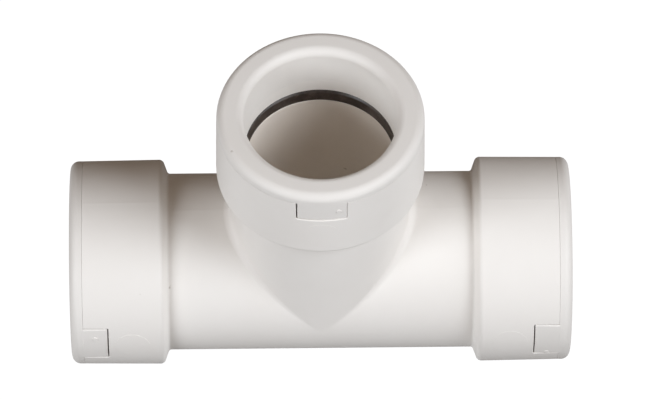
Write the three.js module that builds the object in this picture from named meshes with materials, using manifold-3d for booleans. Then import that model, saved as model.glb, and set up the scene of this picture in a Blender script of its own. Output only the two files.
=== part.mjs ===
// A white push-fit pipe tee with three equal sockets, in millimetres.
// The run lies along X, the branch rises along +Z, and the origin is where their axes cross.
// Each socket holds a rubber lip seal, a backing ring and a clip-on cap that keeps both in place.
import * as THREE from "three";
import { mergeVertices } from "three/addons/utils/BufferGeometryUtils.js";
import Module from "manifold-3d";

const wasm = await Module();
wasm.setup();

// The pipe that the sockets take
const pipeDiameter = 63;
const pipeClearance = 0.4;
const insertionDepth = 68.6;

// Body: tubes, bells and the blend where the tubes meet
const tubeWall = 5.85;
const bellWall = 3.5;
const bellDraft = 0.5;
const bellFloor = 5.2;
const bellFootLength = 3;
const bellEdgeRadius = 2.3;
const bellRootRadius = 1.3;
const bellMouthBreak = 0.4;
const junctionSetback = 3.5;
const boreLeadIn = 0.8;

// Pipe stops: lugs on the bore wall, their faces just outside the crossing tube
const stopSetback = 0.25;
const stopHeight = 2.2;
const stopWidth = 8;
const stopLength = 4;

// Cap: a rounded rim on two sleeves, joined by ribs in the channel between them
const capEdgeRadius = 3.6;
const capEdgeLand = 1.8;
const capMouthRadius = 3.7;
const capSleeveWall = 2.4;
const capChannelWidth = 2.9;
const capWebThickness = 3.5;
const capDepth = 20;
const ribCount = 12;
const ribThickness = 1.6;
const ribSetback = 2;
const beadHeight = 0.5;
const beadLength = 1.5;
const beadSetback = 0.5;

// Tabs on the cap's rim, which drop into notches in the bell
const tabWidth = 20.6;
const tabLength = 10.2;
const tabSideGap = 0.35;
const tabEndGap = 0.6;

// Backing ring and seal
const backingLength = 6.3;
const sealLength = 7;
const sealLipReach = 0.8;
const sealLeadIn = 5.8;
const sealEntryStep = 0.3;

// Gap between pieces that seat on each other, and the overruns of joins and cuts
const fitGap = 0.3;
const overrun = 1;

// Facet counts
const roundSteps = 40;
const arcSteps = 4;

// Radii, from the bore outwards
const boreRadius = pipeDiameter / 2 + pipeClearance;
const channelInnerRadius = boreRadius + capSleeveWall;
const channelOuterRadius = channelInnerRadius + capChannelWidth;
const sleeveRadius = channelOuterRadius + capSleeveWall;
const counterRadius = sleeveRadius + fitGap;
const rimRadius = counterRadius + bellWall;
const bellFootRadius = rimRadius + bellDraft;
const tubeRadius = boreRadius + tubeWall;

// Depths below a socket's face
const capRimHeight = capEdgeRadius + capEdgeLand;
const bellMouthDepth = capRimHeight + fitGap;
const backingTop = capDepth + fitGap;
const sealTop = backingTop + backingLength + fitGap;
const counterDepth = sealTop + sealLength + fitGap;
const bellFootDepth = counterDepth + bellFloor;
const notchDepth = capRimHeight + tabLength + tabEndGap;
const grooveBottom = capDepth - beadSetback + fitGap;
const grooveTop = grooveBottom - beadLength - 2 * fitGap;

// Distance from the crossing to each socket's face
const reach = tubeRadius + stopSetback + insertionDepth;

// How far each socket is turned about Y from the branch's direction
const quarterTurn = Math.PI / 2;
const sockets = { left: -quarterTurn, right: quarterTurn, branch: 0 };

// The points of an outline, with an arc at each corner that has a radius.
function outlinePoints(corners) {
  const points = [];
  corners.forEach(([x, y, radius = 0], i) => {
    const corner = new THREE.Vector2(x, y);
    if (radius === 0) {
      points.push(corner);
      return;
    }
    const [beforeX, beforeY] = corners.at(i - 1);
    const [afterX, afterY] = corners[(i + 1) % corners.length];
    const back = new THREE.Vector2(beforeX, beforeY).sub(corner).normalize();
    const ahead = new THREE.Vector2(afterX, afterY).sub(corner).normalize();
    const half = back.angleTo(ahead) / 2;
    const bisector = back.clone().add(ahead).normalize();
    const centre = corner.clone().addScaledVector(bisector, radius / Math.sin(half));
    const start = corner.clone().addScaledVector(back, radius / Math.tan(half));
    const turn = Math.sign(ahead.cross(back)) * (Math.PI - 2 * half);
    for (let step = 0; step <= arcSteps; step += 1) {
      points.push(start.clone().rotateAround(centre, (turn * step) / arcSteps));
    }
  });
  return points;
}

// Turns a closed mesh into a solid that can be joined and cut.
function toSolid(geometry) {
  const bare = geometry.clone();
  bare.deleteAttribute("normal");
  bare.deleteAttribute("uv");
  const merged = mergeVertices(bare);
  const vertProperties = merged.attributes.position.array;
  const triVerts = new Uint32Array(merged.index.array);
  return new wasm.Manifold(new wasm.Mesh({ numProp: 3, vertProperties, triVerts }));
}

// Turns a solid back into a geometry with flat shading.
function toGeometry(solid) {
  const mesh = solid.getMesh();
  const position = new THREE.BufferAttribute(new Float32Array(mesh.vertProperties), 3);
  const geometry = new THREE.BufferGeometry().setAttribute("position", position);
  geometry.setIndex(new THREE.BufferAttribute(new Uint32Array(mesh.triVerts), 1));
  const faceted = geometry.toNonIndexed();
  faceted.computeVertexNormals();
  return faceted;
}

// Turns an outline of (radius, height) corners about Z. A ring's outline closes on itself,
// and any other outline starts and ends on the axis.
function revolve(corners, isRing) {
  const points = outlinePoints(corners);
  if (isRing) {
    points.push(points[0].clone());
  }
  return new THREE.LatheGeometry(points, roundSteps).rotateX(quarterTurn);
}

// A block centred on the given point.
function block(width, depth, height, x, y, z) {
  return new THREE.BoxGeometry(width, depth, height).translate(x, y, z);
}

// A half outline that starts at the crossing, joined to its mirror image past the crossing.
function bothWays(corners) {
  const mirrored = corners.map(([x, y, radius]) => [x, -y, radius]).reverse();
  return [...mirrored, ...corners];
}

// Outer corners of one tube and its bell, from the crossing to the bell's mouth
function outerCorners() {
  const mouth = reach - bellMouthDepth;
  const foot = reach - bellFootDepth;
  return [
    [tubeRadius, foot - bellFootLength, bellRootRadius],
    [bellFootRadius, foot, bellEdgeRadius],
    [rimRadius, mouth - bellMouthBreak],
    [rimRadius - bellMouthBreak, mouth],
    [0, mouth],
  ];
}

// Inner corners of one socket, from the crossing out past the bell's mouth
function innerCorners() {
  const shoulder = reach - counterDepth;
  const past = reach + overrun;
  return [
    [boreRadius, shoulder - boreLeadIn],
    [boreRadius + boreLeadIn, shoulder],
    [counterRadius, shoulder],
    [counterRadius, reach - grooveBottom],
    [counterRadius + beadHeight, reach - grooveBottom],
    [counterRadius + beadHeight, reach - grooveTop],
    [counterRadius, reach - grooveTop],
    [counterRadius, past],
    [0, past],
  ];
}

// A solid of revolution along the run joined to one that rises from the crossing
function runAndBranch(corners) {
  const start = corners[0][0];
  const run = toSolid(revolve(bothWays(corners), false).rotateY(quarterTurn));
  const branch = toSolid(revolve([[0, 0], [start, 0], ...corners], false));
  return run.add(branch);
}

// The blend in one of the two creases between the run and the branch. Each section lies at one
// angle round both tubes, with its concave arc outside and its other sides sunk below the tubes.
// The arc starts and ends at one setback from the crease, measured square to the crease.
function junctionBlend(side) {
  const sunk = tubeRadius - overrun;
  const halfSteps = roundSteps / 2;
  const rows = [];
  for (let row = 0; row <= halfSteps; row += 1) {
    const angle = (Math.PI * row) / halfSteps;
    const sine = Math.sin(angle);
    const cosine = Math.cos(angle);
    const level = tubeRadius * sine;
    const radius = junctionSetback * Math.hypot(1, cosine);
    const centre = level + radius;
    const points = [
      [sunk * sine, sunk, sunk * sine],
      [centre, sunk, sunk * sine],
    ];
    for (let step = 0; step <= arcSteps; step += 1) {
      const turn = (quarterTurn * step) / arcSteps;
      const x = centre - radius * Math.sin(turn);
      const z = centre - radius * Math.cos(turn);
      points.push([x, tubeRadius, z]);
    }
    points.push([sunk * sine, sunk, centre]);
    rows.push(points.map(([x, out, z]) => [side * x, -out * cosine, z]));
  }
  return loftOf(rows, side < 0);
}

// A closed loft through rows of as many points each, with a fan at each end.
function loftOf(rows, isFlipped) {
  const count = rows[0].length;
  const last = (rows.length - 1) * count;
  const index = [];
  for (let row = 0; row < rows.length - 1; row += 1) {
    for (let i = 0; i < count; i += 1) {
      const here = row * count + i;
      const beside = row * count + ((i + 1) % count);
      index.push(here, here + count, beside, beside, here + count, beside + count);
    }
  }
  for (let i = 1; i < count - 1; i += 1) {
    index.push(0, i, i + 1, last, last + i + 1, last + i);
  }
  const position = new THREE.Float32BufferAttribute(rows.flat(2), 3);
  const geometry = new THREE.BufferGeometry().setAttribute("position", position);
  geometry.setIndex(isFlipped ? index.reverse() : index);
  return geometry;
}

// The two notches in a bell that take the cap's tabs, cut as one slot across the mouth
function tabNotches() {
  const width = tabWidth + 2 * tabSideGap;
  const across = 2 * (bellFootRadius + overrun);
  const length = notchDepth + overrun;
  return block(width, across, length, 0, 0, reach - notchDepth + length / 2);
}

// One pipe stop on each side of a socket's bore, its root sunk into the wall
function pipeStop(side) {
  const depth = stopHeight + overrun;
  const x = boreRadius - stopHeight + depth / 2;
  const z = tubeRadius + stopSetback - stopLength / 2;
  return block(depth, stopWidth, stopLength, side * x, 0, z);
}

// The one-piece body: tubes and bells with their sockets cut out, then the notches and stops
function bodyGeometry() {
  let body = runAndBranch(outerCorners());
  for (const side of [-1, 1]) {
    body = body.add(toSolid(junctionBlend(side)));
  }
  body = body.subtract(runAndBranch(innerCorners()));
  for (const turn of Object.values(sockets)) {
    body = body.subtract(toSolid(tabNotches().rotateY(turn)));
    for (const side of [-1, 1]) {
      body = body.add(toSolid(pipeStop(side).rotateY(turn)));
    }
  }
  return toGeometry(body);
}

// The cap's section, with its face at height 0
function capCorners() {
  const beadBottom = beadSetback - capDepth;
  const beadTop = beadBottom + beadLength;
  return [
    [boreRadius, -capDepth],
    [channelInnerRadius, -capDepth],
    [channelInnerRadius, -capWebThickness],
    [channelOuterRadius, -capWebThickness],
    [channelOuterRadius, -capDepth],
    [sleeveRadius, -capDepth],
    [sleeveRadius, beadBottom],
    [sleeveRadius + beadHeight, beadBottom],
    [sleeveRadius, beadTop],
    [sleeveRadius, -capRimHeight],
    [rimRadius, -capRimHeight],
    [rimRadius, 0, capEdgeRadius],
    [boreRadius, 0, capMouthRadius],
  ];
}

// The two tabs that hang from the rim at the front and the back, flush with it outside
function tabSolid() {
  const top = capEdgeLand / 2 - capRimHeight;
  const bottom = -capRimHeight - tabLength;
  const inner = sleeveRadius - capSleeveWall / 2;
  const corners = [
    [inner, bottom],
    [rimRadius, bottom],
    [rimRadius, top],
    [inner, top],
  ];
  const height = top - bottom + 2 * overrun;
  const slab = block(tabWidth, 2 * bellFootRadius, height, 0, 0, (top + bottom) / 2);
  return toSolid(revolve(corners, true)).intersect(toSolid(slab));
}

// One rib across the channel between the cap's sleeves
function ribSolid(number) {
  const height = capDepth - capWebThickness - ribSetback;
  const width = capChannelWidth + capSleeveWall;
  const middle = (channelInnerRadius + channelOuterRadius) / 2;
  const z = -capWebThickness - height / 2 + overrun / 2;
  const rib = block(width, ribThickness, height + overrun, middle, 0, z);
  return toSolid(rib.rotateZ((2 * Math.PI * number) / ribCount));
}

function capGeometry() {
  let cap = toSolid(revolve(capCorners(), true)).add(tabSolid());
  for (let number = 0; number < ribCount; number += 1) {
    cap = cap.add(ribSolid(number));
  }
  return toGeometry(cap);
}

// The ring between the cap's sleeves and the seal, with the face at height 0
function backingRingGeometry() {
  const corners = [
    [boreRadius, -backingTop - backingLength],
    [sleeveRadius, -backingTop - backingLength],
    [sleeveRadius, -backingTop],
    [boreRadius, -backingTop],
  ];
  return revolve(corners, true);
}

// The seal: a ring with a lip that leans in from its top to grip the pipe
function sealGeometry() {
  const lipRadius = boreRadius - sealLipReach;
  const bottom = -sealTop - sealLength;
  const corners = [
    [lipRadius, bottom],
    [sleeveRadius, bottom],
    [sleeveRadius, -sealTop],
    [boreRadius + sealEntryStep, -sealTop],
    [lipRadius, -sealTop - sealLeadIn],
  ];
  return revolve(corners, true);
}

function whitePlastic() {
  return new THREE.MeshStandardMaterial({ color: 0xefece5, roughness: 0.5, metalness: 0 });
}

function ringPlastic() {
  return new THREE.MeshStandardMaterial({ color: 0xe8e4db, roughness: 0.5, metalness: 0 });
}

function blackRubber() {
  return new THREE.MeshStandardMaterial({ color: 0x242220, roughness: 0.62, metalness: 0 });
}

function namedMesh(name, geometry, material) {
  const mesh = new THREE.Mesh(geometry, material);
  mesh.name = name;
  return mesh;
}

// The three loose pieces of one socket, standing at its face
function socketPieces(name, turn) {
  const face = new THREE.Group();
  face.position.z = reach;
  face.add(namedMesh(name + "_cap", capGeometry(), whitePlastic()));
  face.add(namedMesh(name + "_backing_ring", backingRingGeometry(), ringPlastic()));
  face.add(namedMesh(name + "_seal", sealGeometry(), blackRubber()));
  const socket = new THREE.Group();
  socket.rotation.y = turn;
  socket.add(face);
  return socket;
}

const group = new THREE.Group();
group.add(namedMesh("tee_body", bodyGeometry(), whitePlastic()));
for (const [name, turn] of Object.entries(sockets)) {
  group.add(socketPieces(name, turn));
}

export default group;
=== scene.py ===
"""A white push-fit pipe tee: its body, clip-on caps, backing rings and rubber seals.

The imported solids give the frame. Each solid is replaced by a finely made piece of the same
sizes, dressed in moulded plastic or rubber, on a plain pale floor under soft studio light.
Sizes are written in millimetres and become metres where a mesh is made.
"""

import logging
import math
from collections.abc import Callable, Iterable
from dataclasses import dataclass
from enum import Enum
from typing import Any

import bmesh
import bpy
from mathutils import Matrix, Vector


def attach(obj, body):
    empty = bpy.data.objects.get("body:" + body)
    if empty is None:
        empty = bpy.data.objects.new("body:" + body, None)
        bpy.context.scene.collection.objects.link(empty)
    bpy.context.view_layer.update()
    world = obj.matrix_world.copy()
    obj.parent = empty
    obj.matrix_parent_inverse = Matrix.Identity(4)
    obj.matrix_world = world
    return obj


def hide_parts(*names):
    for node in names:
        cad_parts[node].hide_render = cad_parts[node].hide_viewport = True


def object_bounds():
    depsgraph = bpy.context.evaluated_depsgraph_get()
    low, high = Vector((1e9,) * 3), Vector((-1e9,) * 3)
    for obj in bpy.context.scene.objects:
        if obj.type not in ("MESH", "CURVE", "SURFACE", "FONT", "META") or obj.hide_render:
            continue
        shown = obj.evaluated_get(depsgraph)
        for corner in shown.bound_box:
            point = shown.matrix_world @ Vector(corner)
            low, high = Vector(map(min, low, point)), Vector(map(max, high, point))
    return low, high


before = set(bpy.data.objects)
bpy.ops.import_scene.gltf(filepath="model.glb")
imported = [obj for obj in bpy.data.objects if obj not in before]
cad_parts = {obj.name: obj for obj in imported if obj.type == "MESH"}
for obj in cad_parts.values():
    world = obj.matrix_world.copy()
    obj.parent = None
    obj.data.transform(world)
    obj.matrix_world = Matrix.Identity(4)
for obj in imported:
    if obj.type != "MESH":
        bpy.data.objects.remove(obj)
CAD_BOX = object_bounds()

LOG = logging.getLogger("pipe_tee")

MM = 0.001
ROUND_STEPS = 160
ARC_STEPS = 8
MERGE_MM = 0.002
SMOOTH_ANGLE = math.radians(32)
SHARP_ANGLE = math.radians(50)
QUARTER_TURN = math.radians(90)
HALF_TURN = math.radians(180)
EDGE_WEIGHT = "bevel_weight_edge"

Corner = tuple[float, ...]
Point = tuple[float, float]
Colour = tuple[float, float, float, float]


@dataclass(frozen=True)
class Traits:
    """What sets one socket apart from the others, with its lengths in millimetres.

    Attributes:
        label: The socket's name, which starts the names of its nodes.
        angle: Turn about Y from the branch's direction.
        mitred_sides: Signs of X on which its arm is mitred before it is turned.
        cap_lean: Share of its tabs' slack by which its cap is turned, signed.
        gate_offset: Distance of the gate mark from its tab's middle.
        pad_height: Height of the round pad on its bell.
        foot_rise: How much shorter its bell is at the foot.
    """

    label: str
    angle: float
    mitred_sides: tuple[int, ...]
    cap_lean: float
    gate_offset: float
    pad_height: float
    foot_rise: float = 0.0


class Socket(Enum):
    """The tee's three sockets, each with its traits."""

    LEFT = Traits("left", -QUARTER_TURN, (1,), -0.5, 4.6, 0.1)
    RIGHT = Traits("right", QUARTER_TURN, (-1,), 0.5, 9.0, 0.05)
    BRANCH = Traits("branch", 0.0, (-1, 1), 0.65, 6.9, 0.04, 0.9)

    @property
    def turn(self) -> Matrix:
        """The turn that takes a piece made on the branch's axis to this socket."""
        return Matrix.Rotation(self.value.angle, 4, "Y")


class Part(Enum):
    """The kinds of element that can be picked in edit mode."""

    VERT = "VERT"
    EDGE = "EDGE"
    FACE = "FACE"


class Join(Enum):
    """The ways in which two solids are combined."""

    UNITE = "UNION"
    CUT = "DIFFERENCE"
    OVERLAP = "INTERSECT"


@dataclass(frozen=True)
class SocketSizes:
    """Sizes of one socket and of what sits in it, in millimetres, with its reach from the frame."""

    reach: float = CAD_BOX[1].z / MM
    bore_radius: float = 31.9
    sleeve_wall: float = 2.4
    channel_width: float = 2.9
    seat_gap: float = 0.3
    seam_gap: float = 0.06
    bell_wall: float = 3.5
    bell_draft: float = 0.4
    bell_floor: float = 5.2
    bell_foot_length: float = 2.2
    rim_edge_radius: float = 3.6
    rim_edge_land: float = 1.8
    mouth_radius: float = 3.7
    web_thickness: float = 3.5
    sleeve_depth: float = 20.0
    bead_height: float = 0.5
    bead_length: float = 1.5
    bead_setback: float = 0.5
    backing_length: float = 6.3
    seal_length: float = 7.0
    tab_width: float = 20.6
    tab_length: float = 10.3
    tab_side_gap: float = 0.35
    tab_end_gap: float = 0.5

    @property
    def channel_inner_radius(self) -> float:
        """Outside of the cap's inner sleeve."""
        return self.bore_radius + self.sleeve_wall

    @property
    def channel_outer_radius(self) -> float:
        """Inside of the cap's outer sleeve."""
        return self.channel_inner_radius + self.channel_width

    @property
    def sleeve_radius(self) -> float:
        """Outside of the cap's outer sleeve."""
        return self.channel_outer_radius + self.sleeve_wall

    @property
    def counter_radius(self) -> float:
        """Inside of the bell, which the sleeve, ring and seal sit in."""
        return self.sleeve_radius + self.seat_gap

    @property
    def rim_radius(self) -> float:
        """Outside of the cap's rim and of the bell's mouth."""
        return self.counter_radius + self.bell_wall

    @property
    def rim_height(self) -> float:
        """Height of the cap's rim above the seam."""
        return self.rim_edge_radius + self.rim_edge_land

    @property
    def backing_top(self) -> float:
        """Depth of the backing ring's top below the face."""
        return self.sleeve_depth + self.seam_gap

    @property
    def seal_top(self) -> float:
        """Depth of the seal's top below the face."""
        return self.sleeve_depth + self.seat_gap + self.backing_length + self.seat_gap

    @property
    def counter_depth(self) -> float:
        """Depth of the shoulder that the seal sits on."""
        return self.seal_top + self.seal_length + self.seat_gap


def rounded(corners: Iterable[Corner], steps: int = ARC_STEPS) -> list[Point]:
    """Work out an outline's points, with an arc at each corner that has a radius.

    Args:
        corners: Corners as (radius from the axis, height, corner radius); the last is optional.
        steps: Straight stretches in each arc.

    Returns:
        The outline's points as (radius from the axis, height).
    """
    given = [tuple(corner) + (0.0,) if len(corner) == 2 else tuple(corner) for corner in corners]
    points: list[Point] = []
    for place, (x, y, radius) in enumerate(given):
        corner = Vector((x, y))
        if radius == 0:
            points.append((x, y))
            continue
        back = (Vector(given[place - 1][:2]) - corner).normalized()
        ahead = (Vector(given[(place + 1) % len(given)][:2]) - corner).normalized()
        half = back.angle(ahead) / 2
        centre = corner + (back + ahead).normalized() * (radius / math.sin(half))
        spoke = corner + back * (radius / math.tan(half)) - centre
        turn = math.copysign(math.pi - 2 * half, ahead.x * back.y - ahead.y * back.x)
        for step in range(steps + 1):
            point = centre + Matrix.Rotation(turn * step / steps, 2) @ spoke
            points.append((point.x, point.y))
    return points


class Workbench:
    """Blender's modelling operators, used on one piece at a time."""

    def clear(self) -> None:
        """Leave edit mode and deselect everything."""
        active = bpy.context.view_layer.objects.active
        if active is not None and active.mode != "OBJECT":
            bpy.ops.object.mode_set(mode="OBJECT")
        bpy.ops.object.select_all(action="DESELECT")

    def take(self, piece: bpy.types.Object) -> None:
        """Make one piece the only one selected, and the active one."""
        self.clear()
        piece.select_set(True)
        bpy.context.view_layer.objects.active = piece

    def edit(self, piece: bpy.types.Object) -> None:
        """Take a piece into edit mode."""
        self.take(piece)
        bpy.ops.object.mode_set(mode="EDIT")

    def named(self, name: str) -> bpy.types.Object:
        """Name the active piece and its mesh, and hand it over."""
        piece = bpy.context.view_layer.objects.active
        piece.name = name
        piece.data.name = name
        return piece

    def turned(self, name: str, outline: list[Point], is_ring: bool) -> bpy.types.Object:
        """Make a turned shape by extruding a circle along an outline about Z.

        Args:
            name: Name of the new piece.
            outline: Points as (radius, height) in millimetres.
            is_ring: Whether the outline closes on itself.

        Returns:
            The new piece. Its ends are open unless it is a ring.
        """
        self.clear()
        stops = outline + outline[:1] if is_ring else outline
        radius, height = stops[0]
        bpy.ops.mesh.primitive_circle_add(
            vertices=ROUND_STEPS, radius=radius * MM, location=(0, 0, height * MM)
        )
        bpy.ops.object.transform_apply(location=True)
        bpy.ops.object.mode_set(mode="EDIT")
        bpy.ops.mesh.select_mode(type=Part.VERT.value)
        bpy.ops.mesh.select_all(action="SELECT")
        for next_radius, next_height in stops[1:]:
            rise = (0, 0, (next_height - height) * MM)
            bpy.ops.mesh.extrude_region_move(TRANSFORM_OT_translate={"value": rise})
            growth = next_radius / radius
            bpy.ops.transform.resize(
                value=(growth, growth, 1), center_override=(0, 0, next_height * MM)
            )
            radius, height = next_radius, next_height
        self.merge()
        bpy.ops.object.mode_set(mode="OBJECT")
        return self.named(name)

    def capped(self, name: str, outline: list[Point]) -> bpy.types.Object:
        """Make a turned solid whose flat ends are filled.

        Args:
            name: Name of the new piece.
            outline: Points as (radius, height) in millimetres, from one end to the other.

        Returns:
            The new piece, closed.
        """
        piece = self.turned(name, outline, False)
        self.edit(piece)
        bpy.ops.mesh.select_all(action="SELECT")
        bpy.ops.mesh.fill_holes(sides=0)
        bpy.ops.mesh.normals_make_consistent(inside=False)
        bpy.ops.object.mode_set(mode="OBJECT")
        return piece

    def block(self, name: str, size: Corner, centre: Corner) -> bpy.types.Object:
        """Make a block from its size and centre in millimetres."""
        self.clear()
        bpy.ops.mesh.primitive_cube_add(size=1, location=[value * MM for value in centre])
        bpy.context.object.scale = [value * MM for value in size]
        bpy.ops.object.transform_apply(location=True, rotation=True, scale=True)
        return self.named(name)

    def merge(self) -> None:
        """Merge doubles and turn the faces outwards, in edit mode."""
        bpy.ops.mesh.select_all(action="SELECT")
        bpy.ops.mesh.remove_doubles(threshold=MERGE_MM * MM)
        bpy.ops.mesh.normals_make_consistent(inside=False)

    def pick(
        self, piece: bpy.types.Object, part: Part, is_wanted: Callable[[Vector], bool]
    ) -> None:
        """Select elements in edit mode by the place of their middle.

        Args:
            piece: The piece, which is in edit mode.
            part: Kind of element to select.
            is_wanted: Test of a middle's place, in millimetres.
        """
        bpy.ops.mesh.select_mode(type=part.value)
        bpy.ops.mesh.select_all(action="DESELECT")
        mesh = bmesh.from_edit_mesh(piece.data)
        if part is Part.VERT:
            found = [(vert, vert.co) for vert in mesh.verts]
        elif part is Part.EDGE:
            found = [(edge, (edge.verts[0].co + edge.verts[1].co) / 2) for edge in mesh.edges]
        else:
            found = [(face, face.calc_center_median()) for face in mesh.faces]
        for element, middle in found:
            if is_wanted(middle / MM):
                element.select_set(True)
        mesh.select_flush_mode()
        bmesh.update_edit_mesh(piece.data)

    def slice(self, piece: bpy.types.Object, point: Corner, normal: Corner, fill: bool) -> None:
        """Cut a piece with a plane and clear the side that the normal points to.

        Args:
            piece: The piece to cut.
            point: A point of the plane in millimetres.
            normal: The plane's normal.
            fill: Whether the cut is closed with a face.
        """
        self.edit(piece)
        bpy.ops.mesh.select_all(action="SELECT")
        bpy.ops.mesh.bisect(
            plane_co=[value * MM for value in point],
            plane_no=normal,
            use_fill=fill,
            clear_outer=True,
            threshold=MERGE_MM * MM,
        )
        bpy.ops.object.mode_set(mode="OBJECT")

    def score(self, piece: bpy.types.Object, point: Corner, normal: Corner) -> None:
        """Add edges where a plane meets a piece, with nothing cleared."""
        self.edit(piece)
        bpy.ops.mesh.select_all(action="SELECT")
        bpy.ops.mesh.bisect(plane_co=[value * MM for value in point], plane_no=normal)
        bpy.ops.object.mode_set(mode="OBJECT")

    def combine(self, piece: bpy.types.Object, tool: bpy.types.Object, how: Join) -> None:
        """Combine a piece with a tool solid, and remove the tool."""
        self.take(piece)
        modifier = piece.modifiers.new(how.name.lower(), "BOOLEAN")
        modifier.operation = how.value
        modifier.solver = "EXACT"
        modifier.object = tool
        bpy.ops.object.modifier_apply(modifier=modifier.name)
        bpy.data.meshes.remove(tool.data)

    def soften(self, piece: bpy.types.Object, width: float, steps: int) -> None:
        """Round a piece's sharp edges to a width in millimetres."""
        self.take(piece)
        modifier = piece.modifiers.new("soften", "BEVEL")
        modifier.width = width * MM
        modifier.segments = steps
        modifier.limit_method = "ANGLE"
        modifier.angle_limit = SHARP_ANGLE
        bpy.ops.object.modifier_apply(modifier=modifier.name)

    def fillet(
        self, piece: bpy.types.Object, width: float, steps: int, share: Callable[[Vector], float]
    ) -> None:
        """Round edges by widths that change from edge to edge.

        Args:
            piece: The piece.
            width: Largest distance in millimetres from an edge to where its round starts.
            steps: Faces across the round.
            share: Share of the width at an edge's middle in millimetres, and 0 to leave it sharp.
        """
        self.take(piece)
        mesh = piece.data
        weights = mesh.attributes.new(EDGE_WEIGHT, "FLOAT", "EDGE")
        for edge, weight in zip(mesh.edges, weights.data):
            first, second = (mesh.vertices[number].co for number in edge.vertices)
            weight.value = share((first + second) / (2 * MM))
        modifier = piece.modifiers.new("fillet", "BEVEL")
        modifier.width = width * MM
        modifier.segments = steps
        modifier.limit_method = "WEIGHT"
        modifier.use_clamp_overlap = False
        bpy.ops.object.modifier_apply(modifier=modifier.name)
        mesh.attributes.remove(mesh.attributes[EDGE_WEIGHT])

    def move(self, piece: bpy.types.Object, place: Matrix) -> None:
        """Move a piece, and apply the move to its mesh."""
        self.take(piece)
        piece.matrix_world = place
        bpy.ops.object.transform_apply(location=True, rotation=True, scale=True)

    def copy(self, piece: bpy.types.Object, name: str, turn: Matrix) -> bpy.types.Object:
        """Copy a piece with its own mesh, turned about the origin."""
        self.take(piece)
        bpy.ops.object.duplicate(linked=False)
        made = self.named(name)
        self.move(made, turn)
        return made

    def unite(self, pieces: list[bpy.types.Object], name: str) -> bpy.types.Object:
        """Join pieces into one mesh and merge their shared edges."""
        self.clear()
        for piece in pieces:
            piece.select_set(True)
        bpy.context.view_layer.objects.active = pieces[0]
        bpy.ops.object.join()
        made = self.named(name)
        self.edit(made)
        self.merge()
        bpy.ops.object.mode_set(mode="OBJECT")
        return made

    def polish(self, piece: bpy.types.Object) -> None:
        """Shade a piece smooth but for its edges, with the large faces setting the normals."""
        self.take(piece)
        bpy.ops.object.shade_smooth_by_angle(angle=SMOOTH_ANGLE)
        modifier = piece.modifiers.new("normals", "WEIGHTED_NORMAL")
        modifier.keep_sharp = True
        bpy.ops.object.modifier_apply(modifier=modifier.name)


BENCH = Workbench()


class Value:
    """A number socket of a shader, with Python's operators adding Math nodes."""

    def __init__(self, recipe: "Recipe", socket: bpy.types.NodeSocket) -> None:
        """Wrap a socket of a recipe's node tree."""
        self.recipe = recipe
        self.socket = socket

    def _math(self, operation: str, first: Any, second: Any) -> "Value":
        """Add a Math node for one operator."""
        return self.recipe.value(
            "ShaderNodeMath", {"operation": operation}, {0: first, 1: second}
        )

    def __add__(self, other: Any) -> "Value":
        """Add."""
        return self._math("ADD", self, other)

    __radd__ = __add__

    def __sub__(self, other: Any) -> "Value":
        """Subtract."""
        return self._math("SUBTRACT", self, other)

    def __rsub__(self, other: Any) -> "Value":
        """Subtract from a number."""
        return self._math("SUBTRACT", other, self)

    def __mul__(self, other: Any) -> "Value":
        """Multiply."""
        return self._math("MULTIPLY", self, other)

    __rmul__ = __mul__


@dataclass(frozen=True)
class Pattern:
    """Noise stretched between two of its levels.

    Attributes:
        grain: Width of its grains in millimetres.
        detail: How many finer layers it has.
        low: Level that becomes 0.
        high: Level that becomes 1.
        roughness: Strength of each finer layer.
    """

    grain: float
    detail: float
    low: float
    high: float
    roughness: float = 0.5


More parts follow.
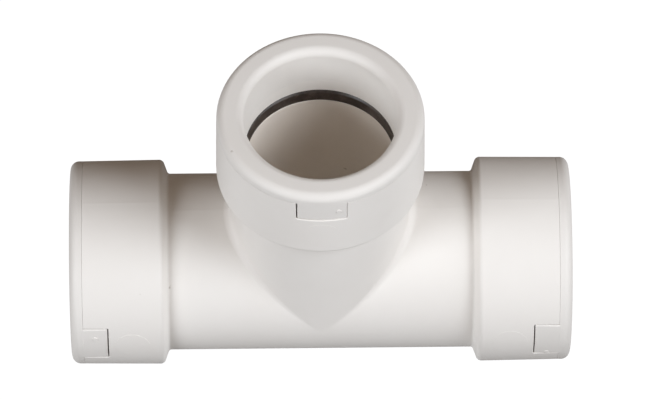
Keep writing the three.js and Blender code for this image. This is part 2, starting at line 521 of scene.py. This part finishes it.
class Recipe:
    """The node tree of one material or of the world, being written."""

    def __init__(self, tree: bpy.types.NodeTree) -> None:
        """Start with an emptied tree."""
        self.tree = tree
        tree.nodes.clear()

    def node(
        self, kind: str, settings: dict[str, Any], inputs: dict[int | str, Any]
    ) -> bpy.types.Node:
        """Add one node.

        Args:
            kind: The node's type name.
            settings: Attributes that are set first, such as a Math node's operation.
            inputs: A value, wrapped value or socket for each input, by name or place.

        Returns:
            The new node.
        """
        made = self.tree.nodes.new(kind)
        for name, setting in settings.items():
            setattr(made, name, setting)
        for key, given in inputs.items():
            source = given.socket if isinstance(given, Value) else given
            if isinstance(source, bpy.types.NodeSocket):
                self.tree.links.new(source, made.inputs[key])
            else:
                made.inputs[key].default_value = source
        return made

    def value(
        self,
        kind: str,
        settings: dict[str, Any],
        inputs: dict[int | str, Any],
        output: int | str = 0,
    ) -> Value:
        """Add one node and wrap one of its outputs."""
        return Value(self, self.node(kind, settings, inputs).outputs[output])

    def place(self) -> bpy.types.NodeSocket:
        """The place on the piece, in the frame's metres."""
        return self.node("ShaderNodeTexCoord", {}, {}).outputs["Object"]

    def noise(self, grain: float, detail: float, roughness: float = 0.5) -> Value:
        """Add noise whose grains are about so many millimetres across."""
        inputs = {
            "Vector": self.place(),
            "Scale": 1 / (grain * MM),
            "Detail": detail,
            "Roughness": roughness,
        }
        return self.value("ShaderNodeTexNoise", {}, inputs)

    def in_bores(self, radius: float) -> Value:
        """Work out which places lie in the tubes' bores: 1 inside them and 0 outside.

        Args:
            radius: Radius in millimetres within which a place is inside.

        Returns:
            1 where a place is that near to the run's axis, or to the branch's above the run.
        """
        parts = self.node("ShaderNodeSeparateXYZ", {}, {0: self.place()}).outputs
        x, y, z = (Value(self, part) for part in parts)
        limit = (radius * MM) ** 2
        in_run = self._is_less(y * y + z * z, limit)
        in_branch = self._is_less(x * x + y * y, limit) * self._is_less(0.0, z)
        return self.value("ShaderNodeMath", {"operation": "MAXIMUM"}, {0: in_run, 1: in_branch})

    def _is_less(self, first: Any, second: Any) -> Value:
        """Compare two values: 1 where the first is less."""
        inputs = {0: first, 1: second}
        return self.value("ShaderNodeMath", {"operation": "LESS_THAN"}, inputs)

    def spread(self, pattern: Pattern) -> Value:
        """Add a pattern's noise, held between 0 and 1."""
        noise = self.noise(pattern.grain, pattern.detail, pattern.roughness)
        inputs = {"Value": noise, "From Min": pattern.low, "From Max": pattern.high}
        return self.value("ShaderNodeMapRange", {"clamp": True}, inputs)

    def blend(self, share: Value, first: Any, second: Any) -> bpy.types.NodeSocket:
        """Mix two colours by a share."""
        mix = self.node("ShaderNodeMix", {"data_type": "RGBA"}, {0: share, 6: first, 7: second})
        return mix.outputs[2]

    def bump(self, height: Value, distance: float, below: Any = None) -> bpy.types.NodeSocket:
        """Add a bump of so many millimetres, over another if one is given."""
        inputs = {"Height": height, "Distance": distance * MM, "Strength": 1.0}
        if below is not None:
            inputs["Normal"] = below
        return self.node("ShaderNodeBump", {}, inputs).outputs["Normal"]

    def finish(self, surface: bpy.types.NodeSocket, kind: str = "Material") -> None:
        """Link the finished surface to the tree's output."""
        self.node(f"ShaderNodeOutput{kind}", {}, {"Surface": surface})


@dataclass(frozen=True)
class MouldedPlastic:
    """White injection-moulded PVC: soft gloss, faint flow clouds, specks, handling marks and a
    painted warm glow inside the bores.
    """

    name: str
    colour: Colour
    cloud_colour: Colour
    # Warm tint inside the bores: painted glow of light bounced between the walls and through the
    # plastic.
    bore_glow_colour: Colour | None = None
    bore_radius: float = 32.6
    speck_colour: Colour = (0.42, 0.37, 0.31, 1)
    least_roughness: float = 0.57
    roughness_spread: float = 0.1
    refraction: float = 1.53
    clouds: Pattern = Pattern(38.0, 3, 0.35, 0.68)
    cloud_share: float = 0.8
    smears: Pattern = Pattern(9.5, 6, 0.42, 0.72, 0.65)
    smear_share: float = 0.2
    specks: Pattern = Pattern(5.5, 2, 0.765, 0.79)
    speck_share: float = 0.5
    skin_grain: float = 0.9
    skin_depth: float = 0.004
    wave_grain: float = 16.0
    wave_depth: float = 0.05

    def material(self) -> bpy.types.Material:
        """Write the finish as a material."""
        made = bpy.data.materials.new(self.name)
        made.use_nodes = True
        recipe = Recipe(made.node_tree)
        clouds = recipe.spread(self.clouds)
        smears = recipe.spread(self.smears)
        specks = recipe.spread(self.specks)
        cloudiness = clouds * self.cloud_share + smears * self.smear_share
        tint = recipe.blend(cloudiness, self.colour, self.cloud_colour)
        # Inside the bores the tint turns warmer: painted bounce light, not a colour of the plastic
        # itself.
        if self.bore_glow_colour is not None:
            tint = recipe.blend(recipe.in_bores(self.bore_radius), tint, self.bore_glow_colour)
        base = recipe.blend(specks * self.speck_share, tint, self.speck_colour)
        gloss = self.least_roughness + smears * self.roughness_spread
        waves = recipe.bump(recipe.noise(self.wave_grain, detail=1), self.wave_depth)
        skin = recipe.bump(recipe.noise(self.skin_grain, detail=2), self.skin_depth, waves)
        inputs = {"Base Color": base, "Roughness": gloss, "Normal": skin, "IOR": self.refraction}
        shader = recipe.node("ShaderNodeBsdfPrincipled", {}, inputs)
        recipe.finish(shader.outputs[0])
        return made


@dataclass(frozen=True)
class MouldedRubber:
    """Black moulded rubber with a satin skin and a little pale dust."""

    name: str
    colour: Colour = (0.036, 0.026, 0.022, 1)
    dust_colour: Colour = (0.18, 0.145, 0.12, 1)
    least_roughness: float = 0.36
    roughness_spread: float = 0.25
    dust: Pattern = Pattern(6.0, 5, 0.45, 0.8, 0.7)
    dust_share: float = 0.6
    skin_grain: float = 0.6
    skin_depth: float = 0.02

    def material(self) -> bpy.types.Material:
        """Write the finish as a material."""
        made = bpy.data.materials.new(self.name)
        made.use_nodes = True
        recipe = Recipe(made.node_tree)
        dust = recipe.spread(self.dust)
        base = recipe.blend(dust * self.dust_share, self.colour, self.dust_colour)
        gloss = self.least_roughness + dust * self.roughness_spread
        skin = recipe.bump(recipe.noise(self.skin_grain, detail=3), self.skin_depth)
        inputs = {"Base Color": base, "Roughness": gloss, "Normal": skin}
        shader = recipe.node("ShaderNodeBsdfPrincipled", {}, inputs)
        recipe.finish(shader.outputs[0])
        return made


def dress(piece: bpy.types.Object, material: bpy.types.Material, slot: str, node: str) -> None:
    """Give a piece its finish, and let it stand for a solid of the frame.

    Args:
        piece: The finished piece.
        material: Its material.
        slot: The record's material slot, which is not used.
        node: The node that it replaces.
    """
    piece.data.materials.clear()
    piece.data.materials.append(material)
    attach(piece, "root")
    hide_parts(node)
    LOG.info("%s: %d faces", piece.name, len(piece.data.polygons))


@dataclass
class TeeBody:
    """The one-piece body: three bells on crossing tubes, with a blend where they meet."""

    sizes: SocketSizes
    tube_wall: float = 5.85
    blend_radius: float = 4.0
    blend_steps: int = 10
    inner_blend_radius: float = 0.6
    inner_blend_steps: int = 3
    least_blend_share: float = 0.12
    bell_edge_radius: float = 2.3
    bell_root_radius: float = 1.3
    mouth_break: float = 0.3
    bore_lead_in: float = 0.5
    stop_setback: float = 0.25
    stop_height: float = 2.2
    stop_width: float = 8.0
    stop_length: float = 4.0
    ridge_width: float = 0.5
    ridge_height: float = 0.06
    pad_radius: float = 7.5
    pad_depth: float = 26.3
    notch_corner: float = 0.6
    notch_corner_steps: int = 4
    notch_edge: float = 0.35
    notch_edge_steps: int = 5
    overrun: float = 1.0

    @property
    def tube_radius(self) -> float:
        """Outside of the tubes."""
        return self.sizes.bore_radius + self.tube_wall

    def foot(self, socket: Socket) -> float:
        """Distance from the crossing to where the bell's full width ends."""
        s = self.sizes
        return s.reach - s.counter_depth - s.bell_floor + socket.value.foot_rise

    @property
    def mouth(self) -> float:
        """Distance from the crossing to the bell's mouth."""
        return self.sizes.reach - self.sizes.rim_height - self.sizes.seam_gap

    def outline(self, socket: Socket) -> list[Point]:
        """Outline of one arm, from the crossing out along the outside and back inside."""
        s = self.sizes
        foot = self.foot(socket)
        shoulder = s.reach - s.counter_depth
        groove_low = s.reach - s.sleeve_depth + s.bead_setback - s.seat_gap
        groove_high = groove_low + s.bead_length + 2 * s.seat_gap
        stop_face = self.tube_radius + self.stop_setback
        corners = [
            (self.tube_radius, 0),
            (self.tube_radius, foot - s.bell_foot_length, self.bell_root_radius),
            (s.rim_radius + s.bell_draft, foot, self.bell_edge_radius),
            (s.rim_radius, self.mouth),
            (s.counter_radius, self.mouth, self.mouth_break),
            (s.counter_radius, groove_high),
            (s.counter_radius + s.bead_height, groove_high),
            (s.counter_radius + s.bead_height, groove_low),
            (s.counter_radius, groove_low),
            (s.counter_radius, shoulder),
            (s.bore_radius + self.bore_lead_in, shoulder),
            (s.bore_radius, shoulder - self.bore_lead_in),
            (s.bore_radius, stop_face),
            (s.bore_radius, stop_face - self.stop_length),
            (s.bore_radius, 0),
        ]
        return rounded(corners)

    def add_ridge(self, arm: bpy.types.Object) -> None:
        """Raise the thin parting ridge along both sides of an arm."""
        for side in (-1, 1):
            BENCH.score(arm, (0, side * self.ridge_width / 2, 0), (0, 1, 0))
        inside = self.tube_radius - self.overrun
        for side in (-1, 1):
            BENCH.edit(arm)
            BENCH.pick(
                arm,
                Part.VERT,
                lambda p, side=side: abs(p.y) < MERGE_MM and side * p.x > inside and p.z < self.mouth,
            )
            bpy.ops.transform.translate(value=(side * self.ridge_height * MM, 0, 0))
            bpy.ops.object.mode_set(mode="OBJECT")

    def add_stops(self, arm: bpy.types.Object) -> None:
        """Raise a pipe stop on each side of an arm's bore."""
        face = self.tube_radius + self.stop_setback
        half = self.stop_width / 2
        for side in (-1, 1):
            BENCH.edit(arm)
            BENCH.pick(
                arm,
                Part.FACE,
                lambda p, side=side: face - self.stop_length < p.z < face
                and abs(p.y) < half
                and 0 < side * p.x < self.sizes.bore_radius + self.overrun,
            )
            inwards = (-side * self.stop_height * MM, 0, 0)
            bpy.ops.mesh.extrude_region_move(TRANSFORM_OT_translate={"value": inwards})
            bpy.ops.object.mode_set(mode="OBJECT")

    def arm(self, socket: Socket) -> bpy.types.Object:
        """Make one arm, open and mitred at the crossing, and turn it to its socket."""
        traits = socket.value
        arm = BENCH.turned(f"{traits.label}_arm", self.outline(socket), False)
        self.add_ridge(arm)
        self.add_stops(arm)
        for side in traits.mitred_sides:
            BENCH.slice(arm, (0, 0, 0), (side, 0, -1), False)
        BENCH.move(arm, socket.turn)
        return arm

    def make(self) -> bpy.types.Object:
        """Build the whole body."""
        body = BENCH.unite([self.arm(socket) for socket in Socket], "tee_body_moulding")
        self.blend_crease(body, self.tube_radius, self.blend_radius, self.blend_steps)
        bore = self.sizes.bore_radius
        self.blend_crease(body, bore, self.inner_blend_radius, self.inner_blend_steps)
        for socket in Socket:
            BENCH.combine(body, self.pad(socket), Join.UNITE)
            BENCH.combine(body, self.notch(socket), Join.CUT)
            self.round_notches(body, socket)
        BENCH.polish(body)
        return body

    def blend_crease(
        self, body: bpy.types.Object, radius: float, blend_radius: float, steps: int
    ) -> None:
        """Round the crease where the branch's wall of one radius meets the run's.

        Args:
            body: The joined arms.
            radius: Radius of the two walls that meet.
            blend_radius: Radius of the round, which narrows to the front as the walls align.
            steps: Faces across the round.
        """
        slack = radius * (1 - math.cos(math.pi / ROUND_STEPS)) + self.ridge_height + MERGE_MM

        def share(p: Vector) -> float:
            """Tangent of half the angle between the walls' normals at a place on the crease."""
            across = math.hypot(p.x, p.y)
            if abs(abs(p.x) - p.z) > MERGE_MM or abs(across - radius) > slack:
                return 0.0
            front = (p.y / across) ** 2
            return max(math.sqrt((1 - front) / (1 + front)), self.least_blend_share)

        BENCH.fillet(body, blend_radius, steps, share)

    def pad(self, socket: Socket) -> bpy.types.Object:
        """Make the thin round pad on a bell's front, left by a plain insert in the mould."""
        s = self.sizes
        high = s.reach - self.pad_depth
        slope = s.bell_draft / (self.mouth - self.foot(socket))
        radius = s.rim_radius + slope * (self.mouth - high)
        height = socket.value.pad_height
        half = self.pad_radius + self.overrun
        shell = [
            (radius - self.overrun, high - half),
            (radius + height + slope * half, high - half),
            (radius + height - slope * half, high + half),
            (radius - self.overrun, high + half),
        ]
        pad = BENCH.turned("pad", shell, True)
        plug = BENCH.capped("plug", [(self.pad_radius, 0), (self.pad_radius, 2 * s.rim_radius)])
        lean = Matrix.Rotation(QUARTER_TURN, 4, "X")
        BENCH.move(plug, Matrix.Translation((0, 0, high * MM)) @ lean)
        BENCH.combine(pad, plug, Join.OVERLAP)
        BENCH.move(pad, socket.turn)
        return pad

    @property
    def notch_low(self) -> float:
        """Distance from the crossing to the notches' closed ends."""
        s = self.sizes
        return s.reach - s.rim_height - s.tab_length - s.tab_end_gap

    def notch(self, socket: Socket) -> bpy.types.Object:
        """Make the cutter of a bell's two tab notches."""
        s = self.sizes
        low = self.notch_low
        height = s.reach + self.overrun - low
        across = 2 * (s.rim_radius + s.bell_draft + self.overrun)
        size = (s.tab_width + 2 * s.tab_side_gap, across, height)
        cutter = BENCH.block("notch", size, (0, 0, low + height / 2))
        BENCH.edit(cutter)
        BENCH.pick(cutter, Part.EDGE, lambda p: abs(p.y) < MERGE_MM and p.z < low + MERGE_MM)
        bpy.ops.mesh.bevel(offset=self.notch_corner * MM, segments=self.notch_corner_steps)
        bpy.ops.object.mode_set(mode="OBJECT")
        BENCH.move(cutter, socket.turn)
        return cutter

    def round_notches(self, body: bpy.types.Object, socket: Socket) -> None:
        """Round the outer edges of a bell's two notches, along their sides and ends."""
        s = self.sizes
        low = self.notch_low - MERGE_MM
        high = self.mouth - MERGE_MM
        half = s.tab_width / 2 + s.tab_side_gap + MERGE_MM
        outside = s.rim_radius - self.notch_corner / 2
        back = socket.turn.inverted()

        def is_edge(place: Vector) -> bool:
            """Whether a place lies on a notch's outer edge."""
            p = back @ place
            return low < p.z < high and abs(p.x) < half and math.hypot(p.x, p.y) > outside

        BENCH.edit(body)
        BENCH.pick(body, Part.EDGE, is_edge)
        bpy.ops.mesh.bevel(
            offset=self.notch_edge * MM, segments=self.notch_edge_steps, clamp_overlap=False
        )
        bpy.ops.object.mode_set(mode="OBJECT")


@dataclass
class Cap:
    """The clip-on cap: a rounded rim on two ribbed sleeves, with two locating tabs."""

    sizes: SocketSizes
    rib_count: int = 12
    rib_thickness: float = 1.6
    rib_setback: float = 2.0
    seam_break: float = 0.15
    tab_face_radius: float = 54.0
    tab_face_recess: float = 0.08
    tab_lean: float = math.radians(1.2)
    tab_side_edge: float = 0.5
    tab_side_steps: int = 5
    tab_end_edge: float = 0.3
    tab_end_steps: int = 2
    corner_steps: int = 12
    gate_radius: float = 1.1
    gate_top_share: float = 0.7
    gate_height: float = 0.3
    gate_depth: float = 10.5
    overrun: float = 1.0

    def outline(self) -> list[Point]:
        """Outline of the cap's section on the branch's axis."""
        s = self.sizes
        face = s.reach
        bead_low = face - s.sleeve_depth + s.bead_setback
        corners = [
            (s.bore_radius, face - s.sleeve_depth),
            (s.channel_inner_radius, face - s.sleeve_depth),
            (s.channel_inner_radius, face - s.web_thickness),
            (s.channel_outer_radius, face - s.web_thickness),
            (s.channel_outer_radius, face - s.sleeve_depth),
            (s.sleeve_radius, face - s.sleeve_depth),
            (s.sleeve_radius, bead_low),
            (s.sleeve_radius + s.bead_height, bead_low),
            (s.sleeve_radius, bead_low + s.bead_length),
            (s.sleeve_radius, face - s.rim_height),
            (s.rim_radius, face - s.rim_height, self.seam_break),
            (s.rim_radius, face, s.rim_edge_radius),
            (s.bore_radius, face, s.mouth_radius),
        ]
        return rounded(corners, self.corner_steps)

    def tabs(self, gate_offset: float) -> bpy.types.Object:
        """Make the two tabs, front and back, each with its gate mark."""
        front = self.tab(gate_offset)
        back = BENCH.copy(front, "back_tab", Matrix.Rotation(HALF_TURN, 4, "Z"))
        return BENCH.unite([front, back], "tabs")

    def tab(self, gate_offset: float) -> bpy.types.Object:
        """Make the front tab, whose face is flatter than the bell and leans in to its tip."""
        s = self.sizes
        high = s.reach - s.rim_height + s.rim_edge_land / 2
        low = s.reach - s.rim_height - s.tab_length
        face = self.tab_face_radius
        inner = face - (s.rim_radius - s.sleeve_radius) - s.sleeve_wall / 2
        lean = (high - low) * math.tan(self.tab_lean)
        section = [(inner, low), (face - lean, low), (face, high), (inner, high)]
        tab = BENCH.turned("tab", section, True)
        BENCH.slice(tab, (0, 0, 0), (0, 1, 0), True)
        for side in (-1, 1):
            BENCH.slice(tab, (side * s.tab_width / 2, 0, 0), (side, 0, 0), True)
        BENCH.edit(tab)
        BENCH.pick(
            tab,
            Part.EDGE,
            lambda p: abs(abs(p.x) - s.tab_width / 2) < MERGE_MM
            and low < p.z - MERGE_MM
            and math.hypot(p.x, p.y) > face - lean - MERGE_MM,
        )
        bpy.ops.mesh.bevel(
            offset=self.tab_side_edge * MM, segments=self.tab_side_steps, clamp_overlap=False
        )
        bpy.ops.object.mode_set(mode="OBJECT")
        BENCH.soften(tab, self.tab_end_edge, self.tab_end_steps)
        inwards = face - s.rim_radius + self.tab_face_recess
        BENCH.move(tab, Matrix.Translation((0, inwards * MM, 0)))
        BENCH.combine(tab, self.gate_mark(gate_offset), Join.UNITE)
        return tab

    def gate_mark(self, offset: float) -> bpy.types.Object:
        """Make the small round mark that a mould's gate leaves on the front tab."""
        s = self.sizes
        shape = [
            (self.gate_radius, 0),
            (self.gate_radius, self.overrun + self.gate_height / 2),
            (self.gate_radius * self.gate_top_share, self.overrun + self.gate_height),
        ]
        mark = BENCH.capped("gate_mark", shape)
        sunk = self.tab_face_recess + self.overrun
        place = Vector((0, sunk - s.rim_radius, s.reach - self.gate_depth)) * MM
        lean = Matrix.Rotation(QUARTER_TURN, 4, "X")
        turn = Matrix.Rotation(math.asin(offset / s.rim_radius), 4, "Z")
        BENCH.move(mark, turn @ Matrix.Translation(place) @ lean)
        return mark

    def ribs(self) -> bpy.types.Object:
        """Make the ribs that cross the channel between the sleeves."""
        s = self.sizes
        height = s.sleeve_depth - s.web_thickness - self.rib_setback + self.overrun
        middle = (s.channel_inner_radius + s.channel_outer_radius) / 2
        high = s.reach - s.web_thickness + self.overrun - height / 2
        size = (s.channel_width + s.sleeve_wall, self.rib_thickness, height)
        rib = BENCH.block("rib", size, (middle, 0, high))
        step = 2 * math.pi / self.rib_count
        copies = [
            BENCH.copy(rib, f"rib_{number}", Matrix.Rotation(number * step, 4, "Z"))
            for number in range(1, self.rib_count)
        ]
        return BENCH.unite([rib, *copies], "ribs")

    def make(self, socket: Socket) -> bpy.types.Object:
        """Build one socket's cap in its place, turned to one side by some of its tabs' slack."""
        s = self.sizes
        cap = BENCH.turned(f"{socket.value.label}_cap_moulding", self.outline(), True)
        BENCH.combine(cap, self.tabs(socket.value.gate_offset), Join.UNITE)
        BENCH.combine(cap, self.ribs(), Join.UNITE)
        lean = socket.value.cap_lean * s.tab_side_gap / s.rim_radius
        BENCH.move(cap, socket.turn @ Matrix.Rotation(lean, 4, "Z"))
        BENCH.polish(cap)
        return cap


@dataclass
class BackingRing:
    """The plastic ring between a cap's sleeves and the seal."""

    sizes: SocketSizes
    edge: float = 0.06
    corner_steps: int = 3

    def make(self, socket: Socket) -> bpy.types.Object:
        """Build one socket's ring in its place."""
        s = self.sizes
        high = s.reach - s.backing_top
        low = s.reach - s.seal_top + s.seat_gap
        corners = [
            (s.bore_radius, low, self.edge),
            (s.sleeve_radius, low, self.edge),
            (s.sleeve_radius, high, self.edge),
            (s.bore_radius, high, self.edge),
        ]
        name = f"{socket.value.label}_backing_ring_moulding"
        ring = BENCH.turned(name, rounded(corners, self.corner_steps), True)
        BENCH.move(ring, socket.turn)
        BENCH.polish(ring)
        return ring


@dataclass
class Seal:
    """The rubber ring, whose lip leans in to grip the pipe."""

    sizes: SocketSizes
    lip_reach: float = 0.75
    lip_depth: float = 6.2
    lip_edge: float = 0.5
    heel_step: float = 0.4
    heel_height: float = 0.4
    entry_step: float = 1.3
    entry_reach: float = 0.25
    entry_depth: float = 1.7
    entry_edge: float = 0.8
    edge: float = 0.3
    corner_steps: int = 5

    def make(self, socket: Socket) -> bpy.types.Object:
        """Build one socket's seal in its place."""
        s = self.sizes
        high = s.reach - s.seal_top + s.seat_gap - s.seam_gap
        low = s.reach - s.seal_top - s.seal_length
        heel = s.bore_radius + self.heel_step
        corners = [
            (heel, low, self.edge),
            (s.sleeve_radius, low, self.edge),
            (s.sleeve_radius, high, self.edge),
            (s.bore_radius + self.entry_step, high, self.edge),
            (s.bore_radius - self.entry_reach, high - self.entry_depth, self.entry_edge),
            (s.bore_radius - self.lip_reach, high - self.lip_depth, self.lip_edge),
            (heel, low + self.heel_height, self.edge),
        ]
        name = f"{socket.value.label}_seal_moulding"
        seal = BENCH.turned(name, rounded(corners, self.corner_steps), True)
        BENCH.move(seal, socket.turn)
        BENCH.polish(seal)
        return seal


@dataclass(frozen=True)
class Lamp:
    """One soft round lamp that shines on the crossing, placed by angles in degrees."""

    name: str
    azimuth: float
    elevation: float
    size: float
    level: float
    distance: float = 1.6
    colour: tuple[float, float, float] = (0.903, 0.946, 1.0)

    @property
    def power(self) -> float:
        """Power at which a white face square to the lamp renders at its level."""
        reach = (self.size / 2) ** 2 + self.distance**2
        return self.level * math.pi**2 * reach


@dataclass
class Studio:
    """A plain pale floor, soft lights and the camera that frames the tee."""

    floor_size: float = 12.0
    floor_grain: float = 400.0
    floor_colours: tuple[Colour, Colour] = ((0.36, 0.36, 0.36, 1), (0.38, 0.38, 0.38, 1))
    floor_glow: float = 1.15
    floor_sight: float = 0.88
    backdrop: Colour = (1, 1, 1, 1)
    elevation: float = 54.53
    azimuth: float = -0.91
    roll: float = 0.2
    distance: float = 2.7
    focal_pixels: float = 6285.0
    image_width: float = 650.0
    image_height: float = 400.0
    crossing_x: float = 320.1
    crossing_y: float = 260.1
    sensor_width: float = 36.0
    nearest_sight: float = 0.05
    farthest_sight: float = 50.0
    ambient: Colour = (0.127, 0.088, 0.058, 1)
    lamps: tuple[Lamp, ...] = (
        Lamp("key", azimuth=58, elevation=43, size=0.8, level=0.54),
        Lamp("side", azimuth=76, elevation=30, size=0.8, level=0.2),
        Lamp("fill", azimuth=-50, elevation=26, size=0.8, level=0.565),
    )

    def make_floor(self) -> None:
        """Lay the floor under the bells."""
        BENCH.clear()
        low = CAD_BOX[0].z
        bpy.ops.mesh.primitive_plane_add(size=self.floor_size, location=(0, 0, low))
        floor = BENCH.named("floor")
        bpy.ops.object.transform_apply(location=True)
        made = bpy.data.materials.new("pale_floor")
        made.use_nodes = True
        recipe = Recipe(made.node_tree)
        pale = recipe.blend(recipe.noise(self.floor_grain, detail=2), *self.floor_colours)
        matt = recipe.node("ShaderNodeBsdfDiffuse", {}, {"Color": pale})
        bright = {"Color": self.backdrop, "Strength": self.floor_glow}
        glow = recipe.node("ShaderNodeEmission", {}, bright)
        sight = recipe.value("ShaderNodeLightPath", {}, {}, "Is Camera Ray")
        inputs = {0: sight * self.floor_sight, 1: matt.outputs[0], 2: glow.outputs[0]}
        recipe.finish(recipe.node("ShaderNodeMixShader", {}, inputs).outputs[0])
        floor.data.materials.append(made)

    def make_world(self) -> None:
        """Light the studio evenly, and show the camera a white backdrop."""
        world = bpy.data.worlds.new("studio")
        world.use_nodes = True
        bpy.context.scene.world = world
        recipe = Recipe(world.node_tree)
        sight = recipe.value("ShaderNodeLightPath", {}, {}, "Is Camera Ray")
        seen = recipe.blend(sight, self.ambient, self.backdrop)
        shader = recipe.node("ShaderNodeBackground", {}, {"Color": seen, "Strength": 1.0})
        recipe.finish(shader.outputs[0], "World")

    def make_lamps(self) -> None:
        """Hang the soft lamps round the tee."""
        for lamp in self.lamps:
            data = bpy.data.lights.new(lamp.name, "AREA")
            data.shape = "DISK"
            data.size = lamp.size
            data.energy = lamp.power
            data.color = lamp.colour
            hung = bpy.data.objects.new(lamp.name, data)
            bpy.context.scene.collection.objects.link(hung)
            back = self.direction(lamp.azimuth, lamp.elevation)
            hung.location = back * lamp.distance
            hung.rotation_euler = (-back).to_track_quat("-Z", "Y").to_euler()

    def direction(self, azimuth: float, elevation: float) -> Vector:
        """Direction from the tee towards a place round it, given in degrees."""
        a, e = math.radians(azimuth), math.radians(elevation)
        return Vector((math.sin(a) * math.cos(e), -math.cos(a) * math.cos(e), math.sin(e)))

    def make_camera(self) -> None:
        """Set the camera so that the crossing of the axes falls on its pixel."""
        data = bpy.data.cameras.new("camera")
        data.sensor_width = self.sensor_width
        data.lens = self.focal_pixels / self.image_width * self.sensor_width
        data.clip_start, data.clip_end = self.nearest_sight, self.farthest_sight
        camera = bpy.data.objects.new("camera", data)
        bpy.context.scene.collection.objects.link(camera)
        a = math.radians(self.azimuth)
        back = self.direction(self.azimuth, self.elevation)
        tilt = Matrix.Rotation(math.radians(self.roll), 3, back)
        right = tilt @ Vector((math.cos(a), math.sin(a), 0))
        up = back.cross(right)
        scale = self.distance / self.focal_pixels
        across = (self.image_width / 2 - self.crossing_x) * scale
        rise = (self.crossing_y - self.image_height / 2) * scale
        turn = Matrix((right, up, back)).transposed().to_4x4()
        place = back * self.distance + right * across + up * rise
        camera.matrix_world = Matrix.Translation(place) @ turn
        bpy.context.scene.camera = camera

    def make(self) -> None:
        """Set the whole studio."""
        self.make_camera()
        self.make_floor()
        self.make_world()
        self.make_lamps()
        bpy.context.scene.view_settings.view_transform = "Standard"


def main() -> None:
    """Build, dress and light the tee."""
    logging.basicConfig(level=logging.INFO, format="%(name)s: %(message)s")
    sizes = SocketSizes()
    white = (0.885, 0.855, 0.815, 1)
    cloud = (0.865, 0.832, 0.79, 1)
    cap_white = (0.856, 0.828, 0.79, 1)
    cap_cloud = (0.838, 0.808, 0.768, 1)
    # Painted warm glow for the bores, standing in for light bounced inside them.
    painted_bore_glow = (0.925, 0.855, 0.775, 1)
    body_plastic = MouldedPlastic("body_plastic", white, cloud, bore_glow_colour=painted_bore_glow).material()
    cap_plastic = MouldedPlastic("cap_plastic", cap_white, cap_cloud).material()
    ring_plastic = MouldedPlastic("ring_plastic", cloud, cloud).material()
    seal_rubber = MouldedRubber("seal_rubber").material()
    dress(TeeBody(sizes).make(), body_plastic, "body_plastic", "tee_body")
    loose = {
        "cap": (Cap(sizes), cap_plastic, "cap_plastic"),
        "backing_ring": (BackingRing(sizes), ring_plastic, "ring_plastic"),
        "seal": (Seal(sizes), seal_rubber, "seal_rubber"),
    }
    for kind, (maker, material, slot) in loose.items():
        for socket in Socket:
            dress(maker.make(socket), material, slot, f"{socket.value.label}_{kind}")
    Studio().make()


if __name__ == "__main__":
    main()
